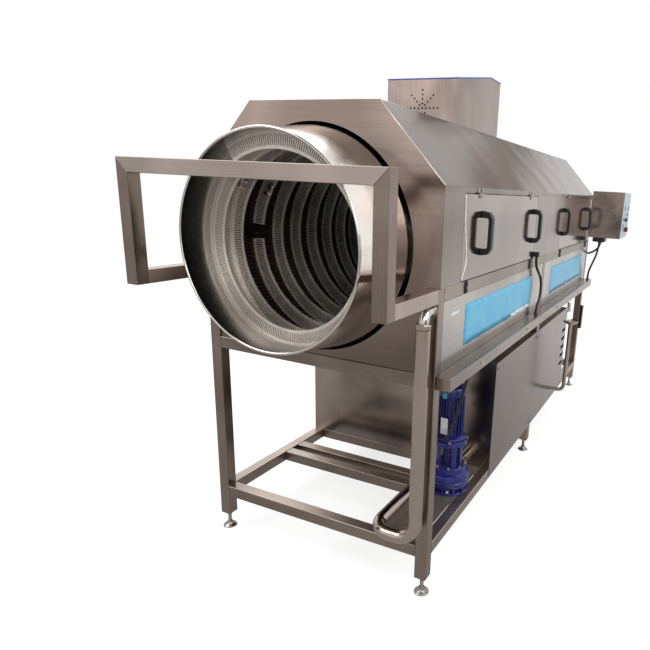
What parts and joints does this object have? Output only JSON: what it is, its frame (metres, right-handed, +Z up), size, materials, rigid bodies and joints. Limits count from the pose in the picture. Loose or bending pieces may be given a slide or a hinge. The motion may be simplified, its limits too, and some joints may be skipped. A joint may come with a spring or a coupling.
{
  "type": "walnut washer",
  "caption": "Rotary drum washer in stainless steel: a perforated drum with a helical flight turns in a hooded tub, fed by a pump and spray pipe, with lift-up side doors",
  "frame": {"origin": "on the floor under the middle of the whole machine", "axes": "+Y from the outlet to the feed end along the drum, +Z up, +X to the pump side"},
  "size_m": [1.3504, 3.6795, 2.08],
  "materials": {
    "frame_steel": "satin square tube",
    "hood_steel": "satin sheet with a soft grain",
    "panel_steel": "bright sheet with partly peeled blue film",
    "polished_steel": "polished",
    "drum_steel": "perforated sheet",
    "zinc": "zinc plated",
    "gear_steel": "machined, oiled",
    "roller_plastic": "white nylon",
    "grip_rubber": "black",
    "pump_paint": "deep blue enamel",
    "motor_paint": "grey enamel",
    "cabinet_steel": "satin sheet",
    "green_button": "green",
    "red_button": "red",
    "black_plastic": "black",
    "lamp_plastic": "lamp lenses and a dark meter",
    "cable_rubber": "black"
  },
  "bodies": {
    "frame": {"legs": "frame_steel", "side_rails": "frame_steel", "cross_rails": "frame_steel", "outlet_guard": "frame_steel", "side_ledge": "frame_steel", "cabinet_bracket": "frame_steel", "drive_rails": "frame_steel", "floor_plate": "frame_steel", "hood_front_plate": "hood_steel", "hood_rear_plate": "hood_steel", "hood_roof": "hood_steel", "hood_side_bands": "hood_steel", "top_box": "hood_steel", "feed_chute": "hood_steel", "tub_trough": "panel_steel", "tub_side_panels": "panel_steel", "water_tank": "panel_steel", "tank_covers": "panel_steel", "delivery_elbow": "polished_steel", "door_hinges": "polished_steel", "door_catches": "polished_steel", "foot_stems": "zinc", "foot_pads": "zinc", "delivery_pipe": "zinc", "suction_pipe": "zinc", "drip_pipe": "zinc", "spray_pipe": "zinc", "roller_supports": "gear_steel", "pump_casing": "pump_paint", "pump_motor": "pump_paint", "pump_fan_cover": "pump_paint", "drive_gearmotor": "motor_paint", "cabinet_body": "cabinet_steel", "cables": "cable_rubber"},
    "drum": {"outlet_collar": "polished_steel", "drum_shell": "drum_steel", "inlet_ring": "drum_steel", "drum_flight": "drum_steel", "riding_rings": "drum_steel", "ring_gear": "gear_steel"},
    "pinion": {"drive_pinion": "gear_steel"},
    "impeller": {"pump_impeller": "pump_paint"},
    "cabinet_door": {"cabinet_door": "cabinet_steel", "panel_lamps": "lamp_plastic"},
    "start_button": {"start_button": "green_button"},
    "stop_button": {"stop_button": "red_button"},
    "emergency_stop": {"emergency_stop": "red_button"},
    "selector_knob": {"selector_knob": "black_plastic"},
    "roller_front_left": {"roller_front_left": "roller_plastic"},
    "roller_front_right": {"roller_front_right": "roller_plastic"},
    "roller_rear_left": {"roller_rear_left": "roller_plastic"},
    "roller_rear_right": {"roller_rear_right": "roller_plastic"},
    "door_front_left": {"door_front_left": "hood_steel", "handles_front_left": "grip_rubber"},
    "door_front_right": {"door_front_right": "hood_steel", "handles_front_right": "grip_rubber"},
    "door_rear_left": {"door_rear_left": "hood_steel", "handles_rear_left": "grip_rubber"},
    "door_rear_right": {"door_rear_right": "hood_steel", "handles_rear_right": "grip_rubber"}
  },
  "joints": [
    {"name": "drum_spin", "type": "hinge", "parent": "frame", "child": "drum", "pos_m": [-0.1112, -0.18175, 1.345], "axis": [0, 1, 0], "continuous": true},
    {"name": "pinion_spin", "type": "hinge", "parent": "frame", "child": "pinion", "pos_m": [-0.0102, -0.55475, 1.83571], "axis": [0, 1, 0], "continuous": true},
    {"name": "roller_front_left_spin", "type": "hinge", "parent": "frame", "child": "roller_front_left", "pos_m": [-0.41543, -1.13175, 0.98243], "axis": [0, 1, 0], "continuous": true},
    {"name": "roller_front_right_spin", "type": "hinge", "parent": "frame", "child": "roller_front_right", "pos_m": [0.19303, -1.13175, 0.98243], "axis": [0, 1, 0], "continuous": true},
    {"name": "roller_rear_left_spin", "type": "hinge", "parent": "frame", "child": "roller_rear_left", "pos_m": [-0.41543, 1.01825, 0.98243], "axis": [0, 1, 0], "continuous": true},
    {"name": "roller_rear_right_spin", "type": "hinge", "parent": "frame", "child": "roller_rear_right", "pos_m": [0.19303, 1.01825, 0.98243], "axis": [0, 1, 0], "continuous": true},
    {"name": "door_front_left_hinge", "type": "hinge", "parent": "frame", "child": "door_front_left", "pos_m": [-0.6351, -0.78925, 1.54225], "axis": [0, 1, 0], "range_deg": [0, 100]},
    {"name": "door_front_right_hinge", "type": "hinge", "parent": "frame", "child": "door_front_right", "pos_m": [0.4127, -0.78925, 1.54225], "axis": [0, -1, 0], "range_deg": [0, 100]},
    {"name": "door_rear_left_hinge", "type": "hinge", "parent": "frame", "child": "door_rear_left", "pos_m": [-0.6351, 0.82575, 1.54225], "axis": [0, 1, 0], "range_deg": [0, 100]},
    {"name": "door_rear_right_hinge", "type": "hinge", "parent": "frame", "child": "door_rear_right", "pos_m": [0.4127, 0.82575, 1.54225], "axis": [0, -1, 0], "range_deg": [0, 100]},
    {"name": "impeller_spin", "type": "hinge", "parent": "frame", "child": "impeller", "pos_m": [0.2888, -1.01475, 0.284], "axis": [0, 0, 1], "continuous": true},
    {"name": "cabinet_door_hinge", "type": "hinge", "parent": "frame", "child": "cabinet_door", "pos_m": [0.6363, 1.83525, 1.425], "axis": [0, 0, 1], "range_deg": [0, 110]},
    {"name": "start_button_press", "type": "slide", "parent": "cabinet_door", "child": "start_button", "axis": [-1, 0, 0], "range_m": [0, 0.005], "stiffness_N_per_m": 600},
    {"name": "stop_button_press", "type": "slide", "parent": "cabinet_door", "child": "stop_button", "axis": [-1, 0, 0], "range_m": [0, 0.005], "stiffness_N_per_m": 600},
    {"name": "emergency_stop_press", "type": "slide", "parent": "cabinet_door", "child": "emergency_stop", "axis": [-1, 0, 0], "range_m": [0, 0.005], "stiffness_N_per_m": 600},
    {"name": "selector_turn", "type": "hinge", "parent": "cabinet_door", "child": "selector_knob", "pos_m": [0.6458, 1.60525, 1.434], "axis": [1, 0, 0], "range_deg": [-45, 45]}
  ],
  "couplings": [
    {"joint": "pinion_spin", "follows": "drum_spin", "ratio": -7.35},
    {"joint": "roller_front_left_spin", "follows": "drum_spin", "ratio": -8.46},
    {"joint": "roller_front_right_spin", "follows": "drum_spin", "ratio": -8.46},
    {"joint": "roller_rear_left_spin", "follows": "drum_spin", "ratio": -8.46},
    {"joint": "roller_rear_right_spin", "follows": "drum_spin", "ratio": -8.46}
  ]
}
